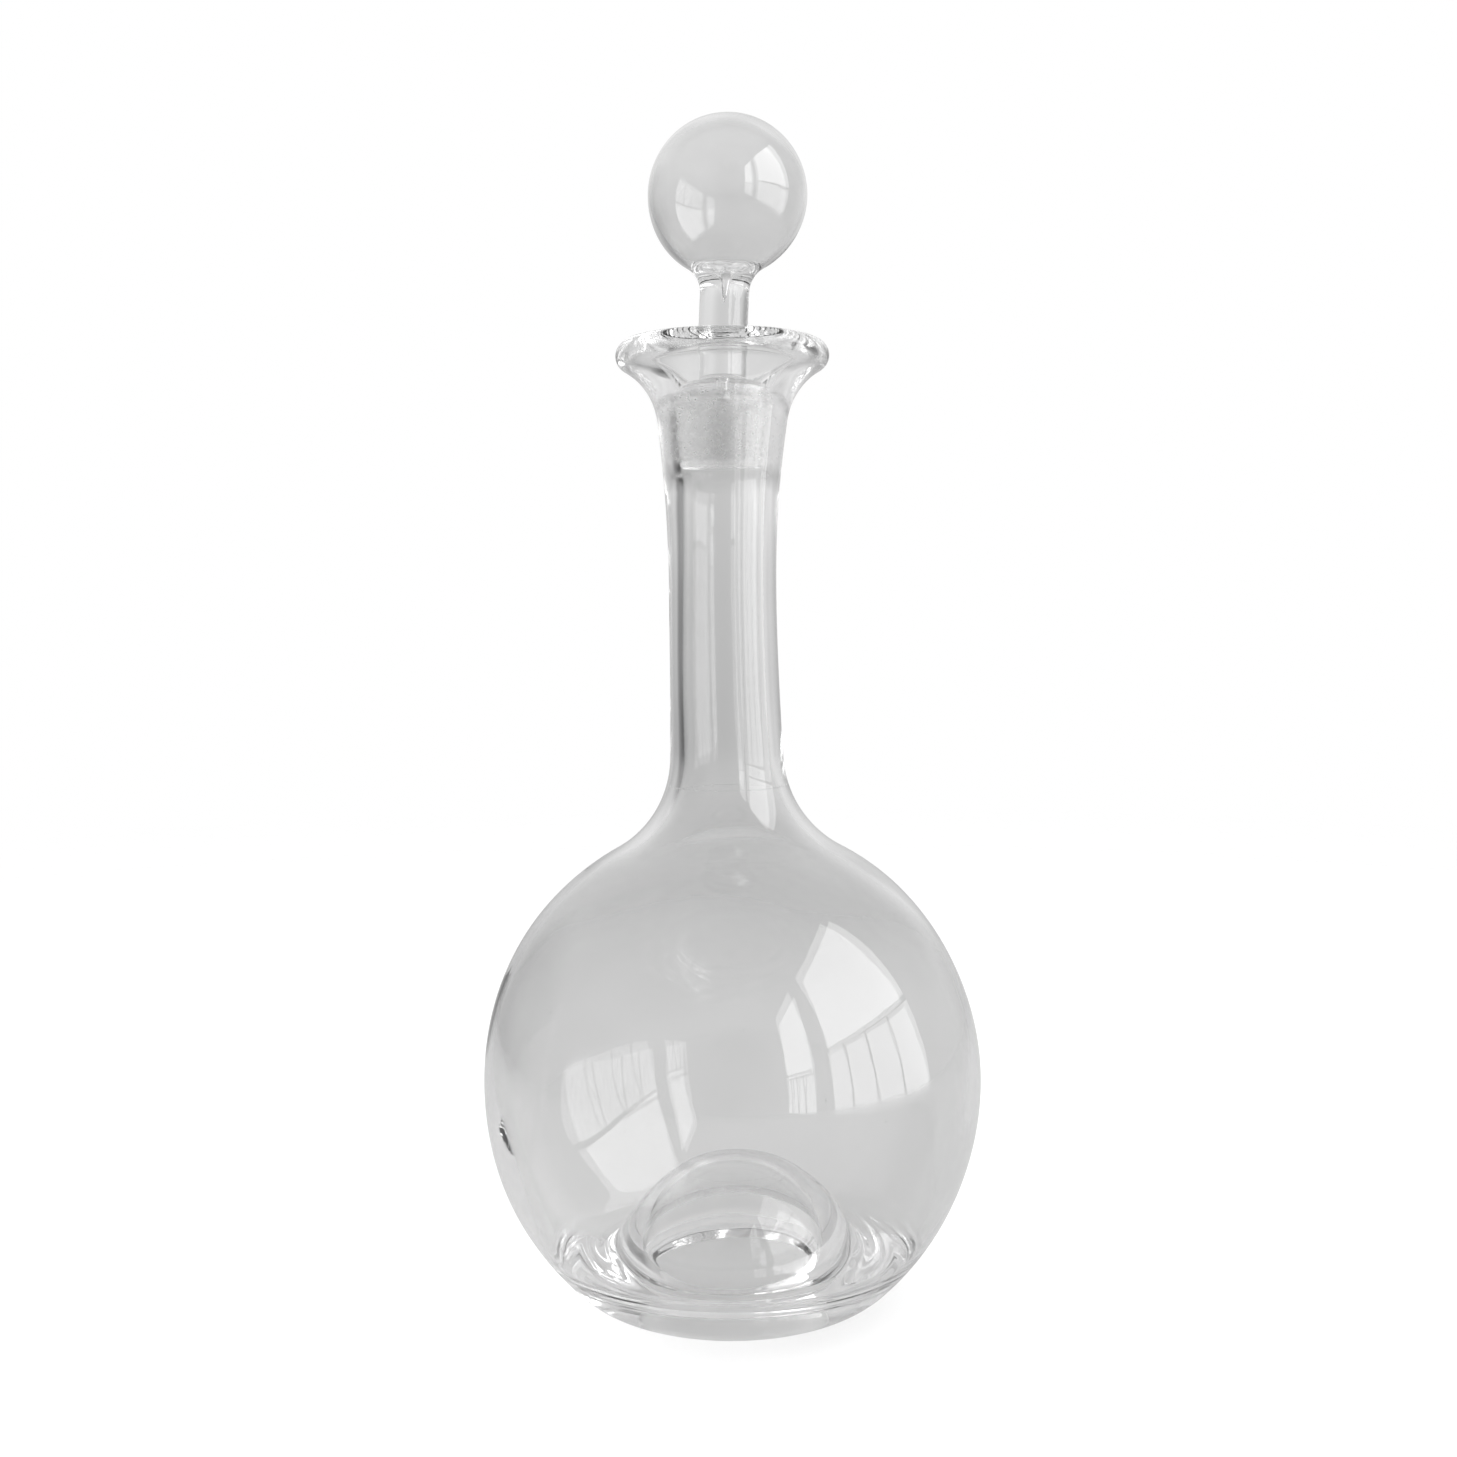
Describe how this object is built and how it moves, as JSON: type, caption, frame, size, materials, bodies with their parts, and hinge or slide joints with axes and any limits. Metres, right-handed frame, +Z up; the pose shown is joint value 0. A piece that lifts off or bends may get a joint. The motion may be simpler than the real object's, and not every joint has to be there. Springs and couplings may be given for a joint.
{
  "type": "stoppered glass decanter",
  "caption": "Hand-blown clear glass decanter: globe body, long neck, rolled flared lip, and a hollow ball stopper with a ground plug that lifts out.",
  "frame": {"origin": "centre of the contact ring under the base, on the table", "axes": "+Z up along the axis of the bottle and stopper; the piece is round, so +X and +Y have no special side"},
  "size_m": [0.128, 0.128, 0.3018],
  "materials": {
    "clear_glass": "fire-polished clear, ground matt on the plug and its seat"
  },
  "bodies": {
    "bottle": {"bottle": "clear_glass"},
    "stopper": {"ball_stopper": "clear_glass"}
  },
  "joints": [
    {"name": "stopper_lift", "type": "slide", "parent": "bottle", "child": "stopper", "axis": [0, 0, 1], "range_m": [0, 0.06]}
  ]
}
